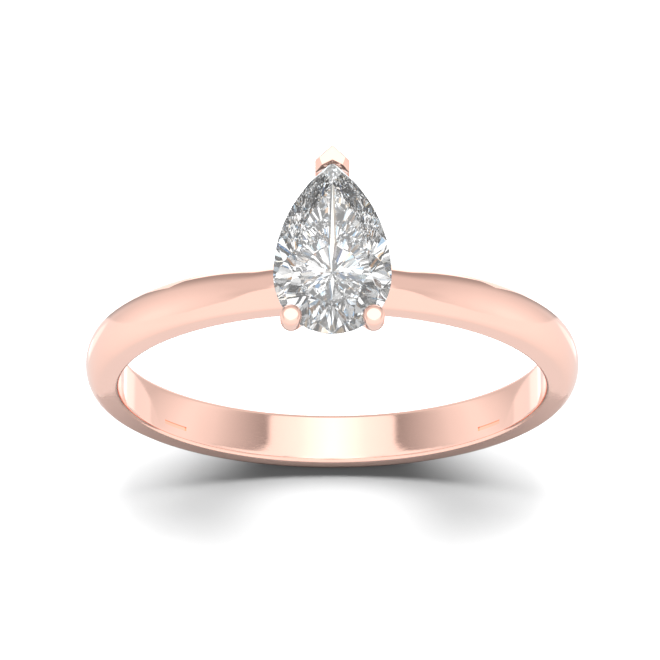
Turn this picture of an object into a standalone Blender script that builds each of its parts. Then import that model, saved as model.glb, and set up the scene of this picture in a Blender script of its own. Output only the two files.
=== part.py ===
"""Pear-cut solitaire engagement ring, built the way a goldsmith assembles it.

A tapering shank with a domed outside carries a small base on a peg. Two wire
galleries, two round claws and a V-shaped claw stand on that base and hold a
pear brilliant. The ring stands upright: the finger hole runs along Y with its
centre at the origin, and the stone is on top with its point towards +Y.
"""
import math

import bmesh
import bpy
from mathutils import Vector

# Sizes are in millimetres; every finished mesh is brought to metres by MM.
MM = 0.001
CLEARANCE = 0.02            # solder film or setting gap left between two pieces
WELD = 0.001                # points closer than this are one point

# Shank. HEAD and FOOT are the top and the bottom of the hoop.
BORE_RADIUS = 8.675    # US size 7, 17.35 mm inside
THICKNESS_MEAN = 1.346
THICKNESS_RISE = 0.088  # thicker by this at the head, thinner at the foot
WIDTH_MEAN = 2.012
FLANK_SLOPE = 0.00565       # each flat flank leans in this much per unit height
FLANK_SHARE = 0.555         # share of the thickness that is flat flank
COMFORT_EDGE = 0.13    # rounding of the two edges against the finger
HOOP_STEPS = 112
DOME_STEPS = 12
EDGE_STEPS = 3

# Two blank hallmark cartouches, pressed inside the lower half of the hoop
MARK_ANGLE = math.radians(131)
MARK_LENGTH = 1.30
MARK_WIDTH = 0.16
MARK_DEPTH = 0.05
MARK_OFFSET = -0.47

# Stone: a 7.0 x 4.5 mm pear brilliant, widest below its middle
STONE_LENGTH = 7.0
STONE_HALF_WIDTH = 2.25
WIDEST_Y = -1.15
CULET_Y = -0.89
GIRDLE_Z = 13.42
GIRDLE_HEIGHT = 0.14
CROWN_HEIGHT = 0.68
PAVILION_DEPTH = 1.92
TABLE_INSET = 0.86
STAR_SHARE = 0.5            # how far down the crown the star facets reach
LOWER_HALF_SHARE = 0.78     # how far down the pavilion the lower halves reach
MAIN_FACETS = (0, 44, 86, 122, 151)   # degrees from the round end, mirrored to the other side
TIP_FACET = 180
GIRDLE_STEPS = 16           # outline points in each of its three arcs

# Head
GALLERY_SIDES = 3           # bevel resolution of the wires
UPPER_GALLERY_Z = 12.2
UPPER_GALLERY_INSET = 0.87
UPPER_GALLERY_RADIUS = 0.25
UPPER_GALLERY_TIP = 0.35
LOWER_GALLERY_Z = 11.22
LOWER_GALLERY_SCALE = 0.40
LOWER_GALLERY_SHIFT = -0.28
LOWER_GALLERY_RADIUS = 0.23
LOWER_GALLERY_TIP = 0.5

BASE_RADIUS = 0.93
BASE_RIM = 1.06
BASE_TOP = 10.74
BASE_EASE = 0.06
BASE_NECK = 10.16
BASE_SKIRT = 9.3
PEG_RADIUS = 0.45
PEG_END = 8.70         # just short of the finger hole

# Claw centre line and radius from foot to shoulder, on the +X side
CLAW_STATIONS = (
    (0.52, -0.40, 10.34, 0.28),
    (0.62, -0.68, 10.74, 0.30),
    (0.97, -1.62, 11.30, 0.34),
    (1.33, -2.40, 12.20, 0.37),
    (1.56, -2.84, 13.05, 0.40),
    (1.575, -2.89, 13.54, 0.42),
)
CLAW_LEAN = Vector((-0.05, 0.12, 1.0)).normalized()
CLAW_DOME_STEPS = 6
CLAW_DOME_POWER = 0.72       # below 1 flattens the top and tightens its shoulder

# V claw: height, apex y, shoulder (x, y), arm end (x, y) and notch y
V_STATIONS = (
    (10.34, 0.90, 0.30, 0.66, 0.30, 0.38, 0.46),
    (10.76, 1.30, 0.34, 1.04, 0.34, 0.72, 0.80),
    (11.30, 1.98, 0.39, 1.66, 0.39, 1.26, 1.36),
    (12.20, 3.04, 0.48, 2.62, 0.48, 2.20, 2.40),
    (13.05, 3.94, 0.64, 3.40, 0.64, 2.94, 3.32),
    (13.62, 4.09, 0.665, 3.52, 0.665, 3.00, 3.40),
    (13.92, 4.03, 0.53, 3.53, 0.41, 3.20, 3.42),
)

ROSE_GOLD = ((0.93, 0.62, 0.50, 1.0), 0.12, 1.0, 0.0)
DIAMOND = ((0.98, 0.99, 1.0, 1.0), 0.0, 0.0, 1.0)


# ---------------------------------------------------------------- scene helpers

def clear_scene():
    for item in list(bpy.data.objects):
        bpy.data.objects.remove(item, do_unlink=True)


def new_collection(name):
    collection = bpy.data.collections.new(name)
    bpy.context.scene.collection.children.link(collection)
    return collection


def new_material(name, look):
    colour, roughness, metallic, transmission = look
    material = bpy.data.materials.new(name)
    material.use_nodes = True
    shader = material.node_tree.nodes["Principled BSDF"]
    shader.inputs["Base Color"].default_value = colour
    shader.inputs["Roughness"].default_value = roughness
    shader.inputs["Metallic"].default_value = metallic
    shader.inputs["Transmission Weight"].default_value = transmission
    return material


def add_object(name, mesh, collection, look, smooth_angle=None):
    item = bpy.data.objects.new(name, mesh)
    collection.objects.link(item)
    mesh.materials.clear()
    mesh.materials.append(new_material(name + "_material", look))
    if smooth_angle is not None:
        mesh.shade_smooth()
        mesh.set_sharp_from_angle(angle=smooth_angle)
    return item


def mesh_from(name, builder):
    """Closes the builder and returns its mesh in metres."""
    builder.normal_update()
    bmesh.ops.recalc_face_normals(builder, faces=builder.faces)
    bmesh.ops.scale(builder, vec=(MM, MM, MM), verts=builder.verts)
    mesh = bpy.data.meshes.new(name)
    builder.to_mesh(mesh)
    builder.free()
    return mesh


def as_cutter(item):
    item.hide_render = True
    item.display_type = "WIRE"
    return item


def cut(item, cutter, operation="DIFFERENCE"):
    modifier = item.modifiers.new(cutter.name, "BOOLEAN")
    modifier.operation = operation
    modifier.solver = "EXACT"
    modifier.object = cutter


def loft(name, sections, closed):
    """Skins a list of equal sections; an open loft gets a cap at each end."""
    builder = bmesh.new()
    rings = [[builder.verts.new(point) for point in section] for section in sections]
    pairs = list(zip(rings, rings[1:]))
    if closed:
        pairs.append((rings[-1], rings[0]))
    for first, second in pairs:
        count = len(first)
        for i in range(count):
            j = (i + 1) % count
            builder.faces.new((first[i], first[j], second[j], second[i]))
    if not closed:
        builder.faces.new(rings[0])
        builder.faces.new(rings[-1])
    return mesh_from(name, builder)


def wire(name, points, radii, cyclic, sides):
    """A round wire through the points, returned as a closed mesh."""
    curve = bpy.data.curves.new(name + "_path", "CURVE")
    curve.dimensions = "3D"
    curve.bevel_depth = 1.0
    curve.bevel_resolution = sides
    curve.use_fill_caps = not cyclic
    spline = curve.splines.new("POLY")
    spline.points.add(len(points) - 1)
    spline.use_cyclic_u = cyclic
    for knot, point, radius in zip(spline.points, points, radii):
        knot.co = (*point, 1.0)
        knot.radius = radius
    guide = bpy.data.objects.new(name + "_path", curve)
    bpy.context.scene.collection.objects.link(guide)
    evaluated = guide.evaluated_get(bpy.context.evaluated_depsgraph_get())
    mesh = bpy.data.meshes.new_from_object(evaluated)
    bpy.data.objects.remove(guide, do_unlink=True)
    builder = bmesh.new()
    builder.from_mesh(mesh)
    bmesh.ops.remove_doubles(builder, verts=builder.verts, dist=WELD)
    bpy.data.meshes.remove(mesh)
    return mesh_from(name, builder)


def smooth_path(stations, steps):
    """Catmull-Rom curve through the stations, any number of values in each."""
    path = []
    for k in range(len(stations) - 1):
        before, start = stations[max(k - 1, 0)], stations[k]
        end, after = stations[k + 1], stations[min(k + 2, len(stations) - 1)]
        for step in range(steps):
            t = step / steps
            path.append([
                0.5 * (2 * b + (c - a) * t + (2 * a - 5 * b + 4 * c - d) * t ** 2
                       + (3 * b - a - 3 * c + d) * t ** 3)
                for a, b, c, d in zip(before, start, end, after)
            ])
    path.append(list(stations[-1]))
    return path


# ------------------------------------------------------------------------ shank

def shank_point(angle, across, height):
    """Point of the hoop: across runs -1 to 1 over its width, height is radial."""
    radius = BORE_RADIUS + height
    x, z = radius * math.sin(angle), radius * math.cos(angle)
    half_width = WIDTH_MEAN / 2 - FLANK_SLOPE * z
    return Vector((x, across * half_width, z))


def shank_section(angle, inner, grow):
    """Flat inside with eased edges, flat flanks and an elliptical dome."""
    cosine = math.cos(angle)
    thickness = THICKNESS_MEAN + THICKNESS_RISE * cosine
    flank = FLANK_SHARE * thickness
    edge = COMFORT_EDGE / (WIDTH_MEAN / 2)
    wide = 1 + grow / (WIDTH_MEAN / 2)
    outline = []
    for k in range(EDGE_STEPS + 1):
        turn = math.pi / 2 * k / EDGE_STEPS
        outline.append((wide - edge * (1 - math.sin(turn)),
                        inner + COMFORT_EDGE * (1 - math.cos(turn))))
    for k in range(DOME_STEPS + 1):
        turn = math.pi * k / DOME_STEPS
        outline.append((wide * math.cos(turn),
                        flank + (thickness - flank + grow) * math.sin(turn)))
    for k in range(EDGE_STEPS + 1):
        turn = math.pi / 2 * (1 - k / EDGE_STEPS)
        outline.append((-wide + edge * (1 - math.sin(turn)),
                        inner + COMFORT_EDGE * (1 - math.cos(turn))))
    return [shank_point(angle, across, height) for across, height in outline]


def hoop_mesh(name, inner=0.0, grow=0.0):
    sections = [shank_section(math.tau * k / HOOP_STEPS, inner, grow)
                for k in range(HOOP_STEPS)]
    return loft(name, sections, closed=True)


def mark_cutter(side, collection):
    """Slim block that presses one blank cartouche into the inside of the hoop."""
    builder = bmesh.new()
    bmesh.ops.create_cube(builder, size=1.0)
    angle = side * MARK_ANGLE
    outward = Vector((math.sin(angle), 0, math.cos(angle)))
    along = Vector((math.cos(angle), 0, -math.sin(angle)))
    centre = outward * BORE_RADIUS + Vector((0, MARK_OFFSET, 0))
    for vertex in builder.verts:
        place = vertex.co
        vertex.co = (centre + along * place.x * MARK_LENGTH + outward * place.z * 2 * MARK_DEPTH
                     + Vector((0, place.y * MARK_WIDTH, 0)))
    return as_cutter(add_object("mark_cutter", mesh_from("mark_cutter", builder),
                                collection, ROSE_GOLD))


def peg_hole_cutter(collection):
    return as_cutter(add_object("peg_hole", peg_mesh("peg_hole", PEG_RADIUS + CLEARANCE,
                                                     BORE_RADIUS - 1, BASE_TOP),
                                collection, ROSE_GOLD))


def peg_mesh(name, radius, bottom, top):
    builder = bmesh.new()
    bmesh.ops.create_cone(builder, cap_ends=True, segments=24, radius1=radius, radius2=radius,
                          depth=top - bottom)
    bmesh.ops.translate(builder, verts=builder.verts, vec=(0, 0, (top + bottom) / 2))
    return mesh_from(name, builder)


def build_shank(parts, cutters):
    shank = add_object("shank", hoop_mesh("shank"), parts, ROSE_GOLD, math.radians(30))
    cut(shank, peg_hole_cutter(cutters))
    for side in (-1, 1):
        cut(shank, mark_cutter(side, cutters))


# ------------------------------------------------------------------------ stone

def pear_outline(inset, tip_radius, steps):
    """Pear drawn with an elliptical round end, two side arcs and a tip arc."""
    half_width = STONE_HALF_WIDTH - inset
    tip_run = STONE_LENGTH / 2 - WIDEST_Y
    full_arc = (STONE_HALF_WIDTH ** 2 + tip_run ** 2) / (2 * STONE_HALF_WIDTH)
    arc = full_arc - inset
    arc_centre = full_arc - STONE_HALF_WIDTH
    round_end = STONE_LENGTH / 2 + WIDEST_Y - inset
    sweep = math.acos(arc_centre / (arc - tip_radius))
    tip_y = WIDEST_Y + (arc - tip_radius) * math.sin(sweep)
    points = []
    for k in range(2 * steps):
        turn = math.pi * (1 + k / (2 * steps))
        points.append(Vector((half_width * math.cos(turn),
                              WIDEST_Y + round_end * math.sin(turn), 0)))
    for k in range(steps):
        turn = sweep * k / steps
        points.append(Vector((arc * math.cos(turn) - arc_centre,
                              WIDEST_Y + arc * math.sin(turn), 0)))
    tip_steps = 6 if tip_radius > 0 else 0
    for k in range(tip_steps + 1):
        turn = sweep + (math.pi - 2 * sweep) * (k / tip_steps if tip_steps else 0)
        points.append(Vector((tip_radius * math.cos(turn), tip_y + tip_radius * math.sin(turn), 0)))
    for k in range(1, steps + 1):
        turn = sweep * (1 - k / steps)
        points.append(Vector((-arc * math.cos(turn) + arc_centre,
                              WIDEST_Y + arc * math.sin(turn), 0)))
    return points[:-1]


def spot_index(outline, degrees):
    """Outline point seen from the culet at this angle from the round end."""
    turn = math.radians(degrees)
    ray = Vector((math.sin(turn), -math.cos(turn), 0))
    centre = Vector((0, WIDEST_Y, 0))
    return max(range(len(outline)), key=lambda i: (outline[i] - centre).normalized().dot(ray))


def outline_tangent(outline, index):
    return (outline[(index + 1) % len(outline)] - outline[index - 1]).normalized()


def three_point_plane(a, b, c, centre):
    normal = (b - a).cross(c - a).normalized()
    if normal.dot(a - centre) < 0:
        normal = -normal
    return a, normal


def ridge_point(first, second, height):
    """Where two facet planes and the level z = height meet."""
    (a, n), (b, m) = first, second
    level = Vector((0, 0, 1))
    determinant = n.dot(m.cross(level))
    return (a.dot(n) * m.cross(level) + b.dot(m) * level.cross(n)
            + height * n.cross(m)) / determinant


def facet_planes():
    """Table, ten bezels, ten stars and twenty halves above; ten mains and twenty halves below."""
    top = Vector((0, 0, GIRDLE_Z + GIRDLE_HEIGHT / 2))
    bottom = Vector((0, 0, GIRDLE_Z - GIRDLE_HEIGHT / 2))
    table_z = top.z + CROWN_HEIGHT
    culet = Vector((0, CULET_Y, bottom.z - PAVILION_DEPTH))
    centre = Vector((0, CULET_Y, GIRDLE_Z))
    angles = [*MAIN_FACETS, TIP_FACET, *(360 - angle for angle in reversed(MAIN_FACETS[1:]))]
    outline = pear_outline(0.0, 0.0, 60)
    table_outline = pear_outline(TABLE_INSET, 0.0, 60)
    indices = [spot_index(outline, angle) for angle in angles]
    spots = [outline[index] for index in indices]
    tables = [table_outline[spot_index(table_outline, angle)] + Vector((0, 0, table_z))
              for angle in angles]
    bezels, mains = [], []
    for spot, index, table in zip(spots, indices, tables):
        tangent = outline_tangent(outline, index)
        bezels.append(three_point_plane(spot + top, spot + top + tangent, table, centre))
        mains.append(three_point_plane(spot + bottom, spot + bottom + tangent, culet, centre))
    planes = [(Vector((0, 0, table_z)), Vector((0, 0, 1)))] + bezels + mains
    for k in range(len(angles)):
        after = (k + 1) % len(angles)
        span = (indices[after] - indices[k]) % len(outline)
        middle = outline[(indices[k] + span // 2) % len(outline)]
        star = ridge_point(bezels[k], bezels[after], table_z - STAR_SHARE * CROWN_HEIGHT)
        keel = ridge_point(mains[k], mains[after], bottom.z - LOWER_HALF_SHARE * PAVILION_DEPTH)
        planes.append(three_point_plane(tables[k], tables[after], star, centre))
        for spot in (spots[k], spots[after]):
            planes.append(three_point_plane(spot + top, middle + top, star, centre))
            planes.append(three_point_plane(spot + bottom, middle + bottom, keel, centre))
    return planes


def stone_mesh(name, grow=0.0):
    """A pear-shaped block ground flat facet by facet."""
    outline = pear_outline(-grow, 0.0, GIRDLE_STEPS)
    builder = bmesh.new()
    low, high = GIRDLE_Z - 3, GIRDLE_Z + 2
    base = builder.faces.new([builder.verts.new((p.x, p.y, low)) for p in outline])
    raised = bmesh.ops.extrude_face_region(builder, geom=[base])
    risen = [v for v in raised["geom"] if isinstance(v, bmesh.types.BMVert)]
    bmesh.ops.translate(builder, verts=risen, vec=(0, 0, high - low))
    for point, normal in facet_planes():
        everything = builder.verts[:] + builder.edges[:] + builder.faces[:]
        result = bmesh.ops.bisect_plane(builder, geom=everything, dist=0.0003,
                                        plane_co=point + normal * grow, plane_no=normal,
                                        clear_outer=True)
        rim = [e for e in result["geom_cut"] if isinstance(e, bmesh.types.BMEdge)]
        rim = [e for e in rim if e.is_boundary]
        if rim:
            bmesh.ops.edgeloop_fill(builder, edges=rim)
    bmesh.ops.remove_doubles(builder, verts=builder.verts, dist=0.002)
    return mesh_from(name, builder)


def build_stone(parts, cutters):
    add_object("stone", stone_mesh("stone"), parts, DIAMOND)
    return as_cutter(add_object("stone_seat", stone_mesh("stone_seat", CLEARANCE),
                                cutters, DIAMOND))


# ------------------------------------------------------------------------- head

def gallery_path(which):
    if which == "upper":
        outline = pear_outline(UPPER_GALLERY_INSET, UPPER_GALLERY_TIP, 8)
        return [Vector((p.x, p.y, UPPER_GALLERY_Z)) for p in outline]
    outline = pear_outline(0.0, LOWER_GALLERY_TIP, 5)
    return [Vector((p.x * LOWER_GALLERY_SCALE,
                    p.y * LOWER_GALLERY_SCALE + LOWER_GALLERY_SHIFT,
                    LOWER_GALLERY_Z)) for p in outline]


def build_galleries(parts, cutters):
    seats = []
    for which, radius in (("upper", UPPER_GALLERY_RADIUS), ("lower", LOWER_GALLERY_RADIUS)):
        path = gallery_path(which)
        name = which + "_gallery"
        rail = wire(name, path, [radius] * len(path), True, GALLERY_SIDES)
        add_object(name, rail, parts, ROSE_GOLD, math.radians(60))
        seat = wire(name + "_seat", path, [radius + CLEARANCE] * len(path), True, GALLERY_SIDES)
        seats.append(as_cutter(add_object(name + "_seat", seat, cutters, ROSE_GOLD)))
    return seats


def claw_mesh(name, side, grow):
    path = smooth_path(CLAW_STATIONS, 3)
    x, y, z, radius = CLAW_STATIONS[-1]
    for k in range(1, CLAW_DOME_STEPS + 1):
        turn = math.radians(86) * k / CLAW_DOME_STEPS
        top = Vector((x, y, z)) + CLAW_LEAN * radius * math.sin(turn) ** CLAW_DOME_POWER
        path.append([*top, radius * math.cos(turn) ** CLAW_DOME_POWER])
    points = [Vector((side * x, y, z)) for x, y, z, _ in path]
    radii = [radius + grow for *_, radius in path]
    points[0].z -= grow
    return wire(name, points, radii, False, 5)


def v_claw_mesh(name, grow):
    sections = []
    for z, apex, shoulder_x, shoulder_y, end_x, end_y, notch in V_STATIONS:
        side_x = shoulder_x + grow
        outline = ((0, apex + grow), (side_x, shoulder_y + grow / 2), (end_x + grow, end_y - grow),
                   (0, notch - grow), (-end_x - grow, end_y - grow),
                   (-side_x, shoulder_y + grow / 2))
        sections.append([Vector((x, y, z)) for x, y in outline])
    for point in sections[0]:
        point.z -= grow
    return loft(name, sections, closed=False)


def build_claws(parts, cutters, seats):
    """The claws, each notched for the stone and the two galleries."""
    feet = []
    makers = {
        "v_prong": v_claw_mesh,
        "claw_prong_right": lambda name, grow: claw_mesh(name, 1, grow),
        "claw_prong_left": lambda name, grow: claw_mesh(name, -1, grow),
    }
    for name, make in makers.items():
        claw = add_object(name, make(name, 0.0), parts, ROSE_GOLD, math.radians(35))
        for seat in seats:
            cut(claw, seat)
        foot = make(name + "_foot", CLEARANCE)
        feet.append(as_cutter(add_object(name + "_foot", foot, cutters, ROSE_GOLD)))
    return feet


def build_base(parts, cutters, feet):
    """Flared collar saddled over the shank, with the peg below it."""
    builder = bmesh.new()
    profile = (
        (0, BASE_TOP),
        (BASE_RIM - BASE_EASE, BASE_TOP),
        (BASE_RIM, BASE_TOP - BASE_EASE),
        (BASE_RIM, BASE_TOP - 3 * BASE_EASE),
        (BASE_RADIUS, BASE_NECK),
        (BASE_RADIUS, BASE_SKIRT),
        (0, BASE_SKIRT),
    )
    knots = [builder.verts.new((radius * MM, 0, height * MM)) for radius, height in profile]
    for first, second in zip(knots, knots[1:]):
        builder.edges.new((first, second))
    outline = bpy.data.meshes.new("head_base")
    builder.to_mesh(outline)
    builder.free()
    base = add_object("head_base", outline, parts, ROSE_GOLD)
    turn = base.modifiers.new("turn", "SCREW")
    turn.axis = "Z"
    turn.steps = turn.render_steps = 28
    turn.use_merge_vertices = True
    turn.merge_threshold = WELD * MM
    turn.use_smooth_shade = False
    saddle = hoop_mesh("saddle", inner=-0.2, grow=CLEARANCE)
    cut(base, as_cutter(add_object("saddle", saddle, cutters, ROSE_GOLD)))
    peg = peg_mesh("peg", PEG_RADIUS, PEG_END, BASE_TOP - 0.2)
    cut(base, as_cutter(add_object("peg", peg, cutters, ROSE_GOLD)), "UNION")
    for foot in feet:
        cut(base, foot)


def main():
    clear_scene()
    parts = new_collection("engagement_ring")
    cutters = new_collection("cutters")
    build_shank(parts, cutters)
    stone_seat = build_stone(parts, cutters)
    gallery_seats = build_galleries(parts, cutters)
    feet = build_claws(parts, cutters, [stone_seat] + gallery_seats)
    build_base(parts, cutters, feet)


main()
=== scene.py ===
"""Pear-cut solitaire engagement ring in polished rose gold: the looks.

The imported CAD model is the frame. Every visible piece here is a finer version
of one CAD node, built from the same sizes, in the same place.
"""
import math

import bmesh
import bpy
from mathutils import Matrix, Vector


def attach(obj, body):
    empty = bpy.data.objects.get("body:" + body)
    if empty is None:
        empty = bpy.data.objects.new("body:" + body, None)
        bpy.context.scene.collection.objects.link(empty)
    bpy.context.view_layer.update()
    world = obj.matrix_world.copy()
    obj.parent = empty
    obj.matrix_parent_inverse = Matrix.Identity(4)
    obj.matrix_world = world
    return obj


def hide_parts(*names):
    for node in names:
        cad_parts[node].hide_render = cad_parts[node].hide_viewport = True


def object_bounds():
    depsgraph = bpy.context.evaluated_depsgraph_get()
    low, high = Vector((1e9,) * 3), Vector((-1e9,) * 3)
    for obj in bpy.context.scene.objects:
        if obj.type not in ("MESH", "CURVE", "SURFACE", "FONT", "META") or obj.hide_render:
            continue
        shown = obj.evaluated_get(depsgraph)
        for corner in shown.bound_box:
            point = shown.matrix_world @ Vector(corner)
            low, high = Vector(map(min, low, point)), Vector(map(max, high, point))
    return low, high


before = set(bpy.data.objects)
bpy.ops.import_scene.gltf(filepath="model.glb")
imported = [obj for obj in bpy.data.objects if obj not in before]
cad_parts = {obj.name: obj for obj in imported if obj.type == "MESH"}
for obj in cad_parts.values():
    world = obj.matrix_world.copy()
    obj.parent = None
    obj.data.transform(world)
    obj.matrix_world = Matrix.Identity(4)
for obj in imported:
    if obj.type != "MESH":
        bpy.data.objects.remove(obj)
CAD_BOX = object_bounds()

# Sizes are in millimetres; every mesh is brought to metres by MM.
MM = 0.001
WELD = 0.0005

# Shank
BORE_RADIUS = 8.675
THICKNESS_MEAN = 1.346
THICKNESS_RISE = 0.088
WIDTH_MEAN = 2.012
FLANK_SLOPE = 0.00565
FLANK_SHARE = 0.555
COMFORT_EDGE = 0.13     # height of the rounding against the finger
COMFORT_RUN = 0.15      # and its reach across the inside
HOOP_STEPS = 720
DOME_STEPS = 56
EDGE_STEPS = 14
FLANK_STEPS = 4
INSIDE_STEPS = 12

# Blank hallmark cartouches inside the hoop
MARK_ANGLE = math.radians(131)
MARK_LENGTH = 1.30
MARK_WIDTH = 0.16
MARK_DEPTH = 0.05
MARK_OFFSET = -0.47
MARK_WALL = 0.008

# Stone
STONE_LENGTH = 7.0
STONE_HALF_WIDTH = 2.25
WIDEST_Y = -1.15
CULET_Y = -0.89
GIRDLE_Z = 13.42
GIRDLE_HEIGHT = 0.14
CROWN_HEIGHT = 0.68
PAVILION_DEPTH = 1.92
TABLE_INSET = 0.86
STAR_SHARE = 0.5
LOWER_HALF_SHARE = 0.78
MAIN_FACETS = (0, 44, 86, 122, 151)
TIP_FACET = 180
RIDGE_PAVILION = (0.16, 0.07, 0.11)     # widths of the slivers along the ridges
RIDGE_CROWN = 0.05
GIRDLE_STEPS = 60
CUT_TOLERANCE = 0.0002

# Head
UPPER_GALLERY_Z = 12.2
UPPER_GALLERY_INSET = 0.87
UPPER_GALLERY_RADIUS = 0.25
UPPER_GALLERY_TIP = 0.35
LOWER_GALLERY_Z = 11.22
LOWER_GALLERY_SCALE = 0.40
LOWER_GALLERY_SHIFT = -0.28
LOWER_GALLERY_RADIUS = 0.23
LOWER_GALLERY_TIP = 0.5
BASE_RADIUS = 0.93
BASE_RIM = 1.06
BASE_TOP = 10.74
BASE_EASE = 0.06
BASE_NECK = 10.16
BASE_SKIRT = 9.75

# Centre x, y and z of the claw, and its radius
CLAW_STATIONS = (
    (0.52, -0.40, 10.34, 0.28),
    (0.62, -0.68, 10.74, 0.30),
    (0.97, -1.62, 11.30, 0.34),
    (1.33, -2.40, 12.20, 0.37),
    (1.56, -2.84, 13.05, 0.40),
    (1.575, -2.89, 13.54, 0.42),
)
CLAW_LEAN = Vector((-0.03, 0.03, 1.0)).normalized()
CLAW_DOME_STEPS = 24
CLAW_DOME_POWER = 0.38  # under 0.5 makes the dome flatter on top and fuller at its edge
CLAW_CREASE = 35        # degrees; a sharper bend stays a crease
SEAT_GAP = 0.012        # between a claw and the stone

# Height; y of the ridge outside; x and y of the shoulder; x and y of the end; y of the notch
V_STATIONS = (
    (10.34, 0.90, 0.30, 0.66, 0.30, 0.38, 0.46),
    (10.76, 1.30, 0.34, 1.04, 0.34, 0.72, 0.80),
    (11.30, 1.98, 0.39, 1.66, 0.39, 1.26, 1.36),
    (12.20, 3.04, 0.48, 2.62, 0.48, 2.20, 2.40),
    (13.05, 3.94, 0.64, 3.40, 0.64, 2.94, 3.32),
    (13.62, 4.09, 0.665, 3.52, 0.665, 3.00, 3.40),
    (13.92, 4.03, 0.53, 3.53, 0.41, 3.20, 3.42),
)
V_ROUNDING = 0.055
V_ROUNDING_ANGLE = 28
V_CREASE = 40

# Key panels: name, degrees behind the vertical, width, depth, watts
KEY_DISTANCE = 150
KEY_PANELS = (
    ("key_panel", 10.0, 70, 24, 0.86),
    ("back_panel", 40.0, 190, 170, 3.1),
)

# Card behind the hoop: its plane, its lower and upper edge and its half width
CARD_Y = 4.0
CARD_LOW = -9.4
CARD_HIGH = 6.3
CARD_HALF = 9.0
CARD_FAN_Z = -4.4       # the bands on it fan out from here

# Floor: how white it is, itself and mirrored in metal, and the part that is mirrored
FLOOR_WHITE = 0.16
FLOOR_MIRRORED = 0.08
FLOOR_SIDES = 96
FLOOR_REACH = 1500.0
MIRRORED_HALF_X = 12.5
MIRRORED_HALF_Y = 4.3
MIRRORED_CENTRE_Y = -1.8
GLOW_START = 20.0       # from here the floor starts to glow by itself,
GLOW_FULL = 70.0        # and from here it glows in full
GLOW_STRENGTH = 1.05

# Metal: colours, and the texture of the polish
GOLD_TINT = (0.95, 0.613, 0.513)
GOLD_SHADE = 0.985
MARK_TINT = (0.95, 0.56, 0.42)
CLOUD_SCALE = 420.0
HAIR_SCALE = (3000.0, 26000.0, 3000.0)
HAIR_BUMP = 0.02
HAIR_DEPTH = 0.02
MARK_SHARE = 0.6        # how much of the mark's depth and width the tint reaches

# Stone: refraction, and the light inside it
DIAMOND_IOR = 2.417
GEM_FIRE = 0.0006       # turns between the colours of the light
GEM_TURN = 0.016
GEM_STRIPS = 34.0
GEM_WIDE_STRIPS = 11.0
GEM_RINGS = 8.0
GEM_LIGHT = 1.38
GEM_GREY = 0.5
GEM_DARK_STRIP = 0.02
GEM_DARK_RING = 0.03

BACKDROP = 1.05
DEGREES = 57.29578

# Camera
CAMERA_TILT = math.radians(69.5258)
CAMERA_PLACE = Vector((-0.0915, -68.505, 187.908))
CAMERA_LENS = 268.17
CAMERA_SENSOR = 36.0

LIGHT_BOUNCES = 24
GLOSSY_BOUNCES = 12


# ---------------------------------------------------------------- mesh helpers

def mesh_from(name, builder):
    builder.normal_update()
    bmesh.ops.recalc_face_normals(builder, faces=builder.faces)
    bmesh.ops.scale(builder, vec=(MM, MM, MM), verts=builder.verts)
    mesh = bpy.data.meshes.new(name)
    builder.to_mesh(mesh)
    builder.free()
    return mesh


def new_piece(name, mesh, smooth_angle=None):
    piece = bpy.data.objects.new(name, mesh)
    bpy.context.scene.collection.objects.link(piece)
    if smooth_angle is not None:
        mesh.shade_smooth()
        mesh.set_sharp_from_angle(angle=math.radians(smooth_angle))
    return piece


def grid_mesh(name, rows, closed_rows):
    """Skins equal rows of points; each row is a closed ring."""
    builder = bmesh.new()
    rings = [[builder.verts.new(point) for point in row] for row in rows]
    pairs = list(zip(rings, rings[1:]))
    if closed_rows:
        pairs.append((rings[-1], rings[0]))
    for first, second in pairs:
        count = len(first)
        for i in range(count):
            j = (i + 1) % count
            builder.faces.new((first[i], first[j], second[j], second[i]))
    if not closed_rows:
        builder.faces.new(rings[0])
        builder.faces.new(rings[-1])
    return mesh_from(name, builder)


def smooth_path(stations, steps):
    path = []
    for k in range(len(stations) - 1):
        before, start = stations[max(k - 1, 0)], stations[k]
        end, after = stations[k + 1], stations[min(k + 2, len(stations) - 1)]
        for step in range(steps):
            t = step / steps
            path.append([
                0.5 * (2 * b + (c - a) * t + (2 * a - 5 * b + 4 * c - d) * t ** 2
                       + (3 * b - a - 3 * c + d) * t ** 3)
                for a, b, c, d in zip(before, start, end, after)
            ])
    path.append(list(stations[-1]))
    return path


def tube_mesh(name, points, radii, cyclic, sides):
    """A round wire along the points, its sections turned without twist."""
    count = len(points)
    rows = []
    normal = None
    for k in range(count):
        before = points[k - 1] if (cyclic or k > 0) else points[k]
        after = points[(k + 1) % count] if (cyclic or k < count - 1) else points[k]
        tangent = (after - before).normalized()
        if normal is None:
            seed = Vector((0, 0, 1)) if abs(tangent.z) < 0.9 else Vector((0, 1, 0))
            normal = (seed - tangent * seed.dot(tangent)).normalized()
        else:
            normal = (normal - tangent * normal.dot(tangent)).normalized()
        side = tangent.cross(normal)
        rows.append([points[k] + (normal * math.cos(a) + side * math.sin(a)) * radii[k]
                     for a in (math.tau * i / sides for i in range(sides))])
    return grid_mesh(name, rows, cyclic)


def apply_modifiers(piece):
    graph = bpy.context.evaluated_depsgraph_get()
    mesh = bpy.data.meshes.new_from_object(piece.evaluated_get(graph),
                                           preserve_all_data_layers=True, depsgraph=graph)
    piece.modifiers.clear()
    piece.data = mesh


def carve(piece, cutter):
    modifier = piece.modifiers.new("carve", "BOOLEAN")
    modifier.operation = "DIFFERENCE"
    modifier.solver = "EXACT"
    modifier.object = cutter
    apply_modifiers(piece)


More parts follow.
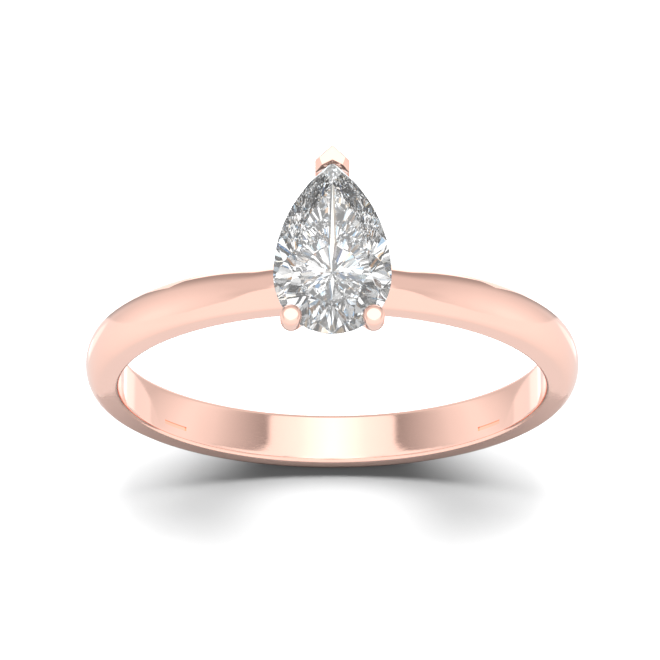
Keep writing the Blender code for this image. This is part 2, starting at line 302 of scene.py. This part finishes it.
def weigh_normals(mesh, smooth_angle):
    """Smooth shading in which large faces stay flat and small ones bend to them."""
    limit = math.cos(math.radians(smooth_angle))
    around = [[] for _ in mesh.vertices]
    for face in mesh.polygons:
        for index in face.vertices:
            around[index].append(face)
    mesh.shade_smooth()
    normals = []
    for face in mesh.polygons:
        for index in face.vertices:
            total = Vector((0, 0, 0))
            for other in around[index]:
                if other.normal.dot(face.normal) > limit:
                    total += other.normal * (other.area / MM ** 2) ** 2
            normals.append(total.normalized() if total.length > 0 else face.normal.copy())
    mesh.normals_split_custom_set(normals)


# ----------------------------------------------------------------------- shank

def shank_point(angle, across, height):
    radius = BORE_RADIUS + height
    x, z = radius * math.sin(angle), radius * math.cos(angle)
    half_width = WIDTH_MEAN / 2 - FLANK_SLOPE * z
    return Vector((x, across * half_width, z))


def inside_lines():
    """Lines across the flat inside, with two close pairs at the mark's long edges."""
    limit = 1 - COMFORT_RUN / (WIDTH_MEAN / 2)
    lines = [limit * (1 - 2 * k / INSIDE_STEPS) for k in range(1, INSIDE_STEPS)]
    half = WIDTH_MEAN / 2 - FLANK_SLOPE * BORE_RADIUS * math.cos(MARK_ANGLE)
    low, high = MARK_OFFSET - MARK_WIDTH / 2, MARK_OFFSET + MARK_WIDTH / 2
    edges = [(low - MARK_WALL) / half, low / half, high / half, (high + MARK_WALL) / half]
    lines = [line for line in lines if all(abs(line - edge) > 0.03 for edge in edges)]
    return sorted(lines + edges, reverse=True), min(edges), max(edges)


def shank_mesh():
    lines, low, high = inside_lines()
    edge = COMFORT_RUN / (WIDTH_MEAN / 2)
    half_mark = MARK_LENGTH / 2 / BORE_RADIUS
    wall = MARK_WALL / BORE_RADIUS
    angles = [math.tau * k / HOOP_STEPS for k in range(HOOP_STEPS)]
    ends = []
    for side in (1, -1):
        centre = (side * MARK_ANGLE) % math.tau
        for end in (-1, 1):
            ends += [centre + end * half_mark, centre + end * (half_mark + wall)]
    angles = [a for a in angles if all(abs(a - e) > 0.0015 for e in ends)]
    angles = sorted(angles + ends)
    rows = []
    for angle in angles:
        thickness = THICKNESS_MEAN + THICKNESS_RISE * math.cos(angle)
        flank = FLANK_SHARE * thickness
        gap = min(abs(angle - MARK_ANGLE), abs(math.tau - angle - MARK_ANGLE))
        in_mark = gap < half_mark + wall / 2
        outline = []
        for k in range(EDGE_STEPS + 1):
            turn = math.pi / 2 * k / EDGE_STEPS
            outline.append((1 - edge * (1 - math.sin(turn)), COMFORT_EDGE * (1 - math.cos(turn))))
        for k in range(1, FLANK_STEPS):
            outline.append((1.0, COMFORT_EDGE + (flank - COMFORT_EDGE) * k / FLANK_STEPS))
        for k in range(DOME_STEPS + 1):
            turn = math.pi * k / DOME_STEPS
            outline.append((math.cos(turn), flank + (thickness - flank) * math.sin(turn)))
        for k in range(1, FLANK_STEPS):
            outline.append((-1.0, flank - (flank - COMFORT_EDGE) * k / FLANK_STEPS))
        for k in range(EDGE_STEPS + 1):
            turn = math.pi / 2 * (1 - k / EDGE_STEPS)
            outline.append((-1 + edge * (1 - math.sin(turn)), COMFORT_EDGE * (1 - math.cos(turn))))
        for line in reversed(lines):
            sunk = in_mark and low + 1e-6 < line < high - 1e-6
            outline.append((line, MARK_DEPTH if sunk else 0.0))
        rows.append([shank_point(angle, across, height) for across, height in outline])
    return grid_mesh("ring_shank", rows, True)


# ----------------------------------------------------------------------- stone

def pear_outline(inset, tip_radius, steps):
    half_width = STONE_HALF_WIDTH - inset
    tip_run = STONE_LENGTH / 2 - WIDEST_Y
    full_arc = (STONE_HALF_WIDTH ** 2 + tip_run ** 2) / (2 * STONE_HALF_WIDTH)
    arc = full_arc - inset
    arc_centre = full_arc - STONE_HALF_WIDTH
    round_end = STONE_LENGTH / 2 + WIDEST_Y - inset
    sweep = math.acos(arc_centre / (arc - tip_radius))
    tip_y = WIDEST_Y + (arc - tip_radius) * math.sin(sweep)
    points = []
    for k in range(2 * steps):
        turn = math.pi * (1 + k / (2 * steps))
        points.append(Vector((half_width * math.cos(turn),
                              WIDEST_Y + round_end * math.sin(turn), 0)))
    for k in range(steps):
        turn = sweep * k / steps
        points.append(Vector((arc * math.cos(turn) - arc_centre,
                              WIDEST_Y + arc * math.sin(turn), 0)))
    tip_steps = 12 if tip_radius > 0 else 0
    for k in range(tip_steps + 1):
        turn = sweep + (math.pi - 2 * sweep) * (k / tip_steps if tip_steps else 0)
        points.append(Vector((tip_radius * math.cos(turn), tip_y + tip_radius * math.sin(turn), 0)))
    for k in range(1, steps + 1):
        turn = sweep * (1 - k / steps)
        points.append(Vector((-arc * math.cos(turn) + arc_centre,
                              WIDEST_Y + arc * math.sin(turn), 0)))
    return points[:-1]


def spot_index(outline, degrees):
    turn = math.radians(degrees)
    ray = Vector((math.sin(turn), -math.cos(turn), 0))
    centre = Vector((0, WIDEST_Y, 0))
    return max(range(len(outline)), key=lambda i: (outline[i] - centre).normalized().dot(ray))


def outline_tangent(outline, index):
    return (outline[(index + 1) % len(outline)] - outline[index - 1]).normalized()


def three_point_plane(a, b, c, centre):
    normal = (b - a).cross(c - a).normalized()
    if normal.dot(a - centre) < 0:
        normal = -normal
    return a, normal


def ridge_point(first, second, height):
    (a, n), (b, m) = first, second
    level = Vector((0, 0, 1))
    determinant = n.dot(m.cross(level))
    return (a.dot(n) * m.cross(level) + b.dot(m) * level.cross(n)
            + height * n.cross(m)) / determinant


def facet_planes():
    top = Vector((0, 0, GIRDLE_Z + GIRDLE_HEIGHT / 2))
    bottom = Vector((0, 0, GIRDLE_Z - GIRDLE_HEIGHT / 2))
    table_z = top.z + CROWN_HEIGHT
    culet = Vector((0, CULET_Y, bottom.z - PAVILION_DEPTH))
    centre = Vector((0, CULET_Y, GIRDLE_Z))
    angles = [*MAIN_FACETS, TIP_FACET, *(360 - angle for angle in reversed(MAIN_FACETS[1:]))]
    outline = pear_outline(0.0, 0.0, 60)
    table_outline = pear_outline(TABLE_INSET, 0.0, 60)
    indices = [spot_index(outline, angle) for angle in angles]
    spots = [outline[index] for index in indices]
    tables = [table_outline[spot_index(table_outline, angle)] + Vector((0, 0, table_z))
              for angle in angles]
    bezels, mains = [], []
    for spot, index, table in zip(spots, indices, tables):
        tangent = outline_tangent(outline, index)
        bezels.append(three_point_plane(spot + top, spot + top + tangent, table, centre))
        mains.append(three_point_plane(spot + bottom, spot + bottom + tangent, culet, centre))
    planes = [(Vector((0, 0, table_z)), Vector((0, 0, 1)))] + bezels + mains
    for k in range(len(angles)):
        after = (k + 1) % len(angles)
        span = (indices[after] - indices[k]) % len(outline)
        middle = outline[(indices[k] + span // 2) % len(outline)]
        star = ridge_point(bezels[k], bezels[after], table_z - STAR_SHARE * CROWN_HEIGHT)
        keel = ridge_point(mains[k], mains[after], bottom.z - LOWER_HALF_SHARE * PAVILION_DEPTH)
        planes.append(three_point_plane(tables[k], tables[after], star, centre))
        for spot in (spots[k], spots[after]):
            planes.append(three_point_plane(spot + top, middle + top, star, centre))
            planes.append(three_point_plane(spot + bottom, middle + bottom, keel, centre))
    return planes


def cut_facet(builder, point, normal):
    """Cuts off what lies past the plane, and closes the cut."""
    everything = builder.verts[:] + builder.edges[:] + builder.faces[:]
    result = bmesh.ops.bisect_plane(builder, geom=everything, dist=CUT_TOLERANCE,
                                    plane_co=point, plane_no=normal, clear_outer=True)
    rim = [item for item in result["geom_cut"]
           if isinstance(item, bmesh.types.BMEdge) and item.is_boundary]
    if rim:
        bmesh.ops.edgeloop_fill(builder, edges=rim)


def edge_rank(edge):
    """Puts the edges in one order, whatever order the cuts made them in."""
    return (edge.verts[0].co + edge.verts[1].co).dot(Vector((1.0, 0.613, 0.377)))


def ridge_planes(builder):
    """Narrow facets along the ridges of the pavilion and the crown."""
    planes = []
    for edge in sorted(builder.edges, key=edge_rank):
        if len(edge.link_faces) != 2:
            continue
        a, b = (face.normal for face in edge.link_faces)
        below = a.z < -0.15 and b.z < -0.15
        above = 0.15 < a.z < 0.98 and 0.15 < b.z < 0.98
        bend = a.angle(b)
        if not (below or above) or bend < 0.01 or edge.calc_length() < 0.5:
            continue
        width = RIDGE_PAVILION[len(planes) % 3] if below else RIDGE_CROWN
        middle = (edge.verts[0].co + edge.verts[1].co) / 2
        bisector = (a + b).normalized()
        planes.append((middle - bisector * width / 2 * math.tan(bend / 2), bisector))
    return planes


def stone_mesh(name, grow=0.0, ridges=False):
    """The pear-shaped column, cut by every facet plane; grow moves all faces out."""
    outline = pear_outline(-grow, 0.0, GIRDLE_STEPS)
    builder = bmesh.new()
    low, high = GIRDLE_Z - 3, GIRDLE_Z + 2
    base = builder.faces.new([builder.verts.new((p.x, p.y, low)) for p in outline])
    raised = bmesh.ops.extrude_face_region(builder, geom=[base])["geom"]
    risen = [item for item in raised if isinstance(item, bmesh.types.BMVert)]
    bmesh.ops.translate(builder, verts=risen, vec=(0, 0, high - low))
    for point, normal in facet_planes():
        cut_facet(builder, point + normal * grow, normal)
    if ridges:
        builder.normal_update()
        for point, normal in ridge_planes(builder):
            cut_facet(builder, point, normal)
    bmesh.ops.remove_doubles(builder, verts=builder.verts, dist=WELD)
    return mesh_from(name, builder)


# ------------------------------------------------------------------------ head

def gallery_mesh(which):
    if which == "upper":
        outline = pear_outline(UPPER_GALLERY_INSET, UPPER_GALLERY_TIP, 30)
        path = [Vector((p.x, p.y, UPPER_GALLERY_Z)) for p in outline]
        radius = UPPER_GALLERY_RADIUS
    else:
        outline = pear_outline(0.0, LOWER_GALLERY_TIP, 24)
        path = [Vector((p.x * LOWER_GALLERY_SCALE,
                        p.y * LOWER_GALLERY_SCALE + LOWER_GALLERY_SHIFT,
                        LOWER_GALLERY_Z)) for p in outline]
        radius = LOWER_GALLERY_RADIUS
    return tube_mesh("gallery_" + which, path, [radius] * len(path), True, 32)


def claw_mesh(side):
    path = smooth_path(CLAW_STATIONS, 10)
    x, y, z, radius = CLAW_STATIONS[-1]
    for k in range(1, CLAW_DOME_STEPS + 1):
        turn = math.radians(89.5) * (k / CLAW_DOME_STEPS) ** 1.4
        top = Vector((x, y, z)) + CLAW_LEAN * radius * math.sin(turn) ** CLAW_DOME_POWER
        path.append([*top, radius * math.cos(turn) ** CLAW_DOME_POWER])
    points = [Vector((side * x, y, z)) for x, y, z, _ in path]
    return tube_mesh("claw", points, [radius for *_, radius in path], False, 56)


def v_claw_mesh():
    rows = []
    for station in [*smooth_path(V_STATIONS[:-1], 8), V_STATIONS[-1]]:
        z, apex, shoulder_x, shoulder_y, end_x, end_y, notch = station
        rows.append([Vector((x, y, z)) for x, y in (
            (0, apex), (shoulder_x, shoulder_y), (end_x, end_y), (0, notch),
            (-end_x, end_y), (-shoulder_x, shoulder_y))])
    return grid_mesh("v_claw", rows, False)


def base_mesh():
    profile = []
    for k in range(7):
        turn = math.pi / 2 * k / 6
        profile.append((BASE_RIM - BASE_EASE + BASE_EASE * math.sin(turn),
                        BASE_TOP - BASE_EASE + BASE_EASE * math.cos(turn)))
    for k in range(13):
        t = k / 12
        swing = 0.5 - 0.5 * math.cos(math.pi * t)
        profile.append((BASE_RIM + (BASE_RADIUS - BASE_RIM) * swing,
                        BASE_TOP - 3 * BASE_EASE + (BASE_NECK - BASE_TOP + 3 * BASE_EASE) * t))
    profile.append((BASE_RADIUS, BASE_SKIRT))
    angles = [math.tau * i / 96 for i in range(96)]
    rows = [[Vector((r * math.cos(a), r * math.sin(a), z)) for a in angles] for r, z in profile]
    return grid_mesh("head_collar", rows, False)


# ------------------------------------------------------------------- materials

class Graph:
    """Short-hand for node trees."""

    def __init__(self, tree):
        self.tree = tree

    def node(self, kind, **settings):
        item = self.tree.nodes.new(kind)
        for key, value in settings.items():
            setattr(item, key, value)
        return item

    def put(self, socket, value):
        if isinstance(value, bpy.types.NodeSocket):
            self.tree.links.new(value, socket)
        else:
            socket.default_value = value

    def math(self, operation, *values):
        item = self.node("ShaderNodeMath", operation=operation)
        for socket, value in zip(item.inputs, values):
            self.put(socket, value)
        return item.outputs[0]

    def product(self, *values):
        total = values[0]
        for value in values[1:]:
            total = self.math("MULTIPLY", total, value)
        return total

    def length(self, first, second):
        return self.math("SQRT", self.math("ADD", self.math("POWER", first, 2.0),
                                           self.math("POWER", second, 2.0)))

    def ramp(self, value, low, high, out_low=0.0, out_high=1.0, kind="SMOOTHSTEP"):
        item = self.node("ShaderNodeMapRange", interpolation_type=kind)
        for socket, number in zip(item.inputs, (value, low, high, out_low, out_high)):
            self.put(socket, number)
        return item.outputs[0]

    def line(self, value, low, high, out_low, out_high):
        return self.ramp(value, low, high, out_low, out_high, kind="LINEAR")

    def blend(self, amount, first, second):
        item = self.node("ShaderNodeMix", data_type="FLOAT")
        for index, value in ((0, amount), (2, first), (3, second)):
            self.put(item.inputs[index], value)
        return item.outputs[0]

    def blend_colours(self, amount, first, second):
        item = self.node("ShaderNodeMix", data_type="RGBA")
        for index, value in ((0, amount), (6, first), (7, second)):
            self.put(item.inputs[index], value)
        return item.outputs[2]

    def noise(self, place, scale, detail):
        item = self.node("ShaderNodeTexNoise")
        for name, value in (("Vector", place), ("Scale", scale), ("Detail", detail)):
            self.put(item.inputs[name], value)
        return item.outputs[0]

    def separate(self, vector):
        item = self.node("ShaderNodeSeparateXYZ")
        self.put(item.inputs[0], vector)
        return item.outputs


def new_material(name):
    material = bpy.data.materials.new(name)
    material.use_nodes = True
    return material, Graph(material.node_tree), material.node_tree.nodes["Principled BSDF"]


def hallmark_mask(graph, place):
    """1 on the sunken floors of the marks inside the hoop, 0 elsewhere."""
    x, y, z = graph.separate(place)
    deep = graph.math("SUBTRACT", graph.length(x, z), (BORE_RADIUS + MARK_DEPTH / 2) * MM)
    off_mark = graph.math("SUBTRACT", y, MARK_OFFSET * MM)
    return graph.product(
        graph.math("LESS_THAN", graph.math("ABSOLUTE", deep), MARK_DEPTH * MARK_SHARE * MM),
        graph.math("LESS_THAN", graph.math("ABSOLUTE", off_mark), MARK_WIDTH * MARK_SHARE * MM),
        graph.math("GREATER_THAN", deep, -MARK_DEPTH * MARK_SHARE / 2 * MM))


def rose_gold():
    """Polished metal: faint clouds in its colour, and hairlines from the polishing wheel."""
    material, graph, shader = new_material("rose_gold_polished")
    shader.inputs["Metallic"].default_value = 1.0
    place = graph.node("ShaderNodeTexCoord").outputs["Object"]

    cloud = graph.noise(place, CLOUD_SCALE, 3.0)
    colour = graph.blend_colours(graph.ramp(cloud, 0.35, 0.65),
                                 (*[c * GOLD_SHADE for c in GOLD_TINT], 1), (*GOLD_TINT, 1))
    colour = graph.blend_colours(hallmark_mask(graph, place), colour, (*MARK_TINT, 1))
    graph.put(shader.inputs["Base Color"], colour)

    smear = graph.node("ShaderNodeMapping")
    graph.put(smear.inputs["Vector"], place)
    graph.put(smear.inputs["Scale"], HAIR_SCALE)
    hair = graph.noise(smear.outputs[0], 1.0, 4.0)
    graph.put(shader.inputs["Roughness"], graph.math(
        "ADD", graph.ramp(hair, 0.3, 0.75, 0.045, 0.085), graph.ramp(cloud, 0.3, 0.7, 0.0, 0.02)))
    bump = graph.node("ShaderNodeBump")
    for name, value in (("Strength", HAIR_BUMP), ("Distance", HAIR_DEPTH * MM), ("Height", hair)):
        graph.put(bump.inputs[name], value)
    graph.put(shader.inputs["Normal"], bump.outputs[0])
    return material


def diamond():
    material, _, shader = new_material("diamond_polished")
    shader.inputs["Base Color"].default_value = (1.0, 1.0, 1.0, 1.0)
    shader.inputs["Roughness"].default_value = 0.0
    shader.inputs["IOR"].default_value = DIAMOND_IOR
    shader.inputs["Transmission Weight"].default_value = 1.0
    return material


# ---------------------------------------------------------- floor, light, camera

def degrees_round(graph, across, towards):
    return graph.math("MULTIPLY", graph.math("ARCTAN2", across, towards), DEGREES)


def gem_light(graph, x, y, z, shift):
    """What the stone alone sees: strips of light and shade, shifted a little for each colour."""
    angle = graph.math("ARCTAN2", x, graph.math("MULTIPLY", y, -1.0))
    turns = graph.math("ADD", graph.math("DIVIDE", angle, math.tau), GEM_TURN + shift)
    strips = graph.math("PINGPONG", graph.math("MULTIPLY", turns, GEM_STRIPS), 1.0)
    wide = graph.math("PINGPONG", graph.math("MULTIPLY", turns, GEM_WIDE_STRIPS), 1.0)
    height = graph.math("ADD", graph.math("MULTIPLY", z, GEM_RINGS), shift * 20)
    rings = graph.math("PINGPONG", height, 1.0)
    off_top = graph.ramp(z, 0.99, 0.95)
    dark = graph.math("MULTIPLY", graph.ramp(strips, 0.55, 0.7), off_top)
    grey = graph.math("MULTIPLY", graph.ramp(wide, 0.55, 0.65), off_top)
    level = graph.blend(grey, GEM_LIGHT, GEM_GREY)
    level = graph.blend(dark, level, GEM_DARK_STRIP)
    return graph.blend(graph.ramp(rings, 0.72, 0.82), level, GEM_DARK_RING)


def tent_light(graph, x, y, z):
    """What the metal sees: a soft tent with cards, laid out by the direction's angles.

    round_ is 0 towards the viewer's side and 180 behind, alike on the left and the right, and
    up is the height over the horizon. Both are in degrees.
    """
    round_ = degrees_round(graph, graph.math("ABSOLUTE", x), graph.math("MULTIPLY", y, -1.0))
    up = graph.math("MULTIPLY", graph.math("ARCSINE", z), DEGREES)

    def lump(round_0, up_0, round_size, up_size, core):
        """1 inside the core share of an oval patch, falling smoothly to 0 at its edge."""
        return graph.ramp(graph.length(
            graph.math("DIVIDE", graph.math("SUBTRACT", round_, round_0), round_size),
            graph.math("DIVIDE", graph.math("SUBTRACT", up, up_0), up_size)), core, 1.0, 1.0, 0.0)

    # front, sides and the white sweep below: nearly even, duller towards the nadir
    level = graph.line(up, -15.0, -70.0, 1.2, 0.93)
    level = graph.blend(graph.ramp(up, 60.0, 66.0), level, 1.3)

    # side panel: brightest at its middle, with a dark border at the back
    reach = graph.length(graph.math("SUBTRACT", round_, 84.0), graph.math("SUBTRACT", up, 2.0))
    panel = graph.line(reach, 7.0, 50.0, 1.25, 0.87)
    panel = graph.blend(lump(80.0, 54.0, 26.0, 20.0, 0.0), panel, 0.8)
    border = graph.product(graph.ramp(round_, 128.0, 151.0), graph.ramp(up, 26.0, 46.0, 1.0, 0.0))
    panel = graph.blend(border, panel, 0.45)
    past = graph.math("SUBTRACT", round_, 60.0)
    slant = graph.math("ADD", up, graph.math("MULTIPLY", past, 0.78))
    left = graph.math("SUBTRACT", round_, graph.ramp(up, 34.0, 64.0, 0.0, 28.0))
    inside = graph.product(graph.ramp(slant, 13.0, 15.0), graph.ramp(left, 59.0, 61.5),
                           graph.ramp(up, 60.0, 66.0, 1.0, 0.0))
    level = graph.blend(inside, level, panel)

    # bright panel behind, beyond the dark border
    behind = graph.product(graph.ramp(round_, 152.5, 156.5), graph.ramp(up, 14.0, 21.0, 1.0, 0.0))
    level = graph.blend(behind, level, 1.95)

    # brighter ceiling at the back
    ceiling = graph.product(graph.ramp(round_, 125.0, 145.0), graph.ramp(up, 57.0, 62.0))
    level = graph.blend(ceiling, level, 1.85)

    # two glints low behind the sides
    level = graph.blend(lump(124.0, -51.0, 11.0, 12.0, 0.6), level, 1.36)
    return graph.blend(lump(129.0, -57.5, 6.0, 3.5, 0.7), level, 1.7)


def build_world():
    """White studio: one light for the metal, one for the stone, and a plain white backdrop."""
    world = bpy.data.worlds.new("studio")
    bpy.context.scene.world = world
    world.use_nodes = True
    graph = Graph(world.node_tree)
    x, y, z = graph.separate(graph.node("ShaderNodeTexCoord").outputs["Generated"])
    path = graph.node("ShaderNodeLightPath")
    level = tent_light(graph, x, y, z)
    colour = graph.node("ShaderNodeCombineColor")
    for socket, shift in zip(colour.inputs, (-GEM_FIRE, 0.0, GEM_FIRE)):
        gem = gem_light(graph, x, y, z, shift)
        shown = graph.blend(path.outputs["Is Transmission Ray"], level, gem)
        graph.put(socket, graph.blend(path.outputs["Is Camera Ray"], shown, BACKDROP))
    background = world.node_tree.nodes["Background"]
    graph.put(background.inputs["Color"], colour.outputs[0])
    background.inputs["Strength"].default_value = 1.0


def build_key_lights():
    """Two soft panels, overhead and behind, for the shadow on the floor."""
    for name, tilt, width, depth, watts in KEY_PANELS:
        data = bpy.data.lights.new(name, "AREA")
        data.shape = "RECTANGLE"
        data.size = width * MM
        data.size_y = depth * MM
        data.energy = watts
        panel = bpy.data.objects.new(name, data)
        bpy.context.scene.collection.objects.link(panel)
        panel.matrix_world = Matrix.Rotation(-math.radians(tilt), 4, "X") @ Matrix.Translation(
            Vector((0, 0, KEY_DISTANCE * MM)))
        panel.visible_camera = panel.visible_glossy = panel.visible_transmission = False


def card_light(graph):
    """A white wedge straight above, and beside it a panel with a dark leading edge."""
    x, _, z = graph.separate(graph.node("ShaderNodeTexCoord").outputs["Object"])
    across = graph.math("MULTIPLY", graph.math("ABSOLUTE", x), 1 / MM)
    over = graph.math("ADD", graph.math("MULTIPLY", z, 1 / MM), -CARD_FAN_Z)
    fan = degrees_round(graph, across, over)
    out = graph.length(across, over)
    past = graph.math("MAXIMUM", graph.math("SUBTRACT", out, 7.6), 0.0)
    bend = graph.math("MULTIPLY", graph.math("POWER", past, 2.0), 3.2)
    bent = graph.math("SUBTRACT", fan, bend)

    wedge = graph.math("ADD", graph.line(fan, 2.0, 18.0, 1.95, 1.49),
                       graph.line(fan, 18.0, 32.0, 0.0, -0.17))
    panel = graph.math("ADD", graph.line(bent, 37.0, 75.0, 0.4, 0.99),
                       graph.line(fan, 75.0, 98.0, 0.0, 0.17))
    panel = graph.math("SUBTRACT", panel, graph.line(fan, 108.0, 165.0, 0.0, 0.4))
    side = graph.product(graph.ramp(bent, 33.0, 37.5), graph.ramp(out, 9.3, 9.6, 1.0, 0.0))
    return graph.blend(side, wedge, panel)


def build_card():
    """Card hanging just behind the hoop, seen only in the polish of its inside."""
    builder = bmesh.new()
    builder.faces.new([builder.verts.new((x, CARD_Y, z)) for x, z in (
        (-CARD_HALF, CARD_LOW), (CARD_HALF, CARD_LOW),
        (CARD_HALF, CARD_HIGH), (-CARD_HALF, CARD_HIGH))])
    card = new_piece("inside_card", mesh_from("inside_card", builder))
    material, graph, shader = new_material("inside_card")
    material.node_tree.nodes.remove(shader)
    glow = graph.node("ShaderNodeEmission")
    graph.put(glow.inputs["Strength"], card_light(graph))
    graph.put(material.node_tree.nodes["Material Output"].inputs["Surface"], glow.outputs[0])
    material.cycles.emission_sampling = "NONE"
    card.data.materials.append(material)
    card.visible_camera = card.visible_diffuse = False
    card.visible_transmission = card.visible_shadow = False


def floor_material():
    """White sweep, evenly white far out; darker in reflections, to match the studio around it."""
    material, graph, shader = new_material("floor_white")
    mirrored = graph.node("ShaderNodeLightPath").outputs["Is Glossy Ray"]
    colour = graph.node("ShaderNodeCombineColor")
    for socket in colour.inputs:
        graph.put(socket, graph.blend(mirrored, FLOOR_WHITE, FLOOR_MIRRORED))
    graph.put(shader.inputs["Base Color"], colour.outputs[0])
    shader.inputs["Roughness"].default_value = 1.0
    shader.inputs["Specular IOR Level"].default_value = 0.0
    away = graph.node("ShaderNodeVectorMath", operation="LENGTH")
    graph.put(away.inputs[0], graph.node("ShaderNodeTexCoord").outputs["Object"])
    glow = graph.ramp(away.outputs["Value"], GLOW_START * MM, GLOW_FULL * MM, 0.0, GLOW_STRENGTH)
    graph.put(shader.inputs["Emission Strength"], glow)
    shader.inputs["Emission Color"].default_value = (1.0, 1.0, 1.0, 1.0)
    material.cycles.emission_sampling = "NONE"
    return material


def build_floor():
    """One flat floor; only the part below the ring is mirrored in the metal."""
    low = CAD_BOX[0][2] / MM
    material = floor_material()
    turns = [math.tau * k / FLOOR_SIDES for k in range(FLOOR_SIDES)]
    near = [(MIRRORED_HALF_X * math.cos(a), MIRRORED_CENTRE_Y + MIRRORED_HALF_Y * math.sin(a), low)
            for a in turns]
    far = [(FLOOR_REACH * math.cos(a), FLOOR_REACH * math.sin(a), low) for a in turns]
    for name in ("floor_centre", "floor"):
        builder = bmesh.new()
        inside = [builder.verts.new(point) for point in near]
        if name == "floor_centre":
            builder.faces.new(inside)
        else:
            outside = [builder.verts.new(point) for point in far]
            for k in range(FLOOR_SIDES):
                j = (k + 1) % FLOOR_SIDES
                builder.faces.new((inside[k], outside[k], outside[j], inside[j]))
        bmesh.ops.scale(builder, vec=(MM, MM, MM), verts=builder.verts)
        mesh = bpy.data.meshes.new(name)
        builder.to_mesh(mesh)
        builder.free()
        mesh.materials.append(material)
        floor = new_piece(name, mesh)
        floor.visible_glossy = name == "floor_centre"
        floor.visible_transmission = False


def build_camera():
    data = bpy.data.cameras.new("camera")
    data.sensor_width = CAMERA_SENSOR
    data.lens = CAMERA_LENS
    data.clip_start = 0.01
    data.clip_end = 20.0
    camera = bpy.data.objects.new("camera", data)
    bpy.context.scene.collection.objects.link(camera)
    right = Vector((1, 0, 0))
    up = Vector((0, math.sin(CAMERA_TILT), math.cos(CAMERA_TILT)))
    turn = Matrix((right, up, right.cross(up))).transposed().to_4x4()
    camera.matrix_world = Matrix.Translation(CAMERA_PLACE * MM) @ turn
    bpy.context.scene.camera = camera


# ------------------------------------------------------------------------ build

def finish_piece(piece, node, material, slot):
    """The metal stays out of the stone's light, and the head out of the hoop's polish."""
    piece.visible_transmission = slot == "diamond"
    piece.visible_glossy = node in ("shank", "stone")
    piece.data.materials.clear()
    piece.data.materials.append(material)
    for face in piece.data.polygons:
        face.material_index = 0
    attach(piece, "root")
    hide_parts(node)


def build_ring():
    gold, clear = rose_gold(), diamond()
    stone = new_piece("pear_diamond", stone_mesh("pear_diamond", ridges=True))
    seat = new_piece("seat", stone_mesh("seat", SEAT_GAP))
    finish_piece(new_piece("ring_shank", shank_mesh(), 30), "shank", gold, "rose_gold")
    finish_piece(new_piece("head_collar", base_mesh(), 40), "head_base", gold, "rose_gold")
    for which in ("upper", "lower"):
        gallery = new_piece("gallery_" + which, gallery_mesh(which), 60)
        finish_piece(gallery, which + "_gallery", gold, "rose_gold")
    for name, side in (("left", -1), ("right", 1)):
        claw = new_piece("claw_" + name, claw_mesh(side))
        carve(claw, seat)
        claw.data.shade_smooth()
        claw.data.set_sharp_from_angle(angle=math.radians(CLAW_CREASE))
        finish_piece(claw, "claw_prong_" + name, gold, "rose_gold")
    v_claw = new_piece("v_claw", v_claw_mesh())
    rounding = v_claw.modifiers.new("rounding", "BEVEL")
    rounding.width = V_ROUNDING * MM
    rounding.segments = 2
    rounding.limit_method = "ANGLE"
    rounding.angle_limit = math.radians(V_ROUNDING_ANGLE)
    apply_modifiers(v_claw)
    carve(v_claw, seat)
    weigh_normals(v_claw.data, V_CREASE)
    finish_piece(v_claw, "v_prong", gold, "rose_gold")
    finish_piece(stone, "stone", clear, "diamond")
    bpy.data.objects.remove(seat, do_unlink=True)


build_camera()
build_world()
build_key_lights()
build_floor()
build_card()
build_ring()
scene = bpy.context.scene
scene.view_settings.view_transform = "Standard"
scene.cycles.max_bounces = LIGHT_BOUNCES
scene.cycles.caustics_reflective = False
scene.cycles.caustics_refractive = False
scene.cycles.transmission_bounces = LIGHT_BOUNCES
scene.cycles.glossy_bounces = GLOSSY_BOUNCES
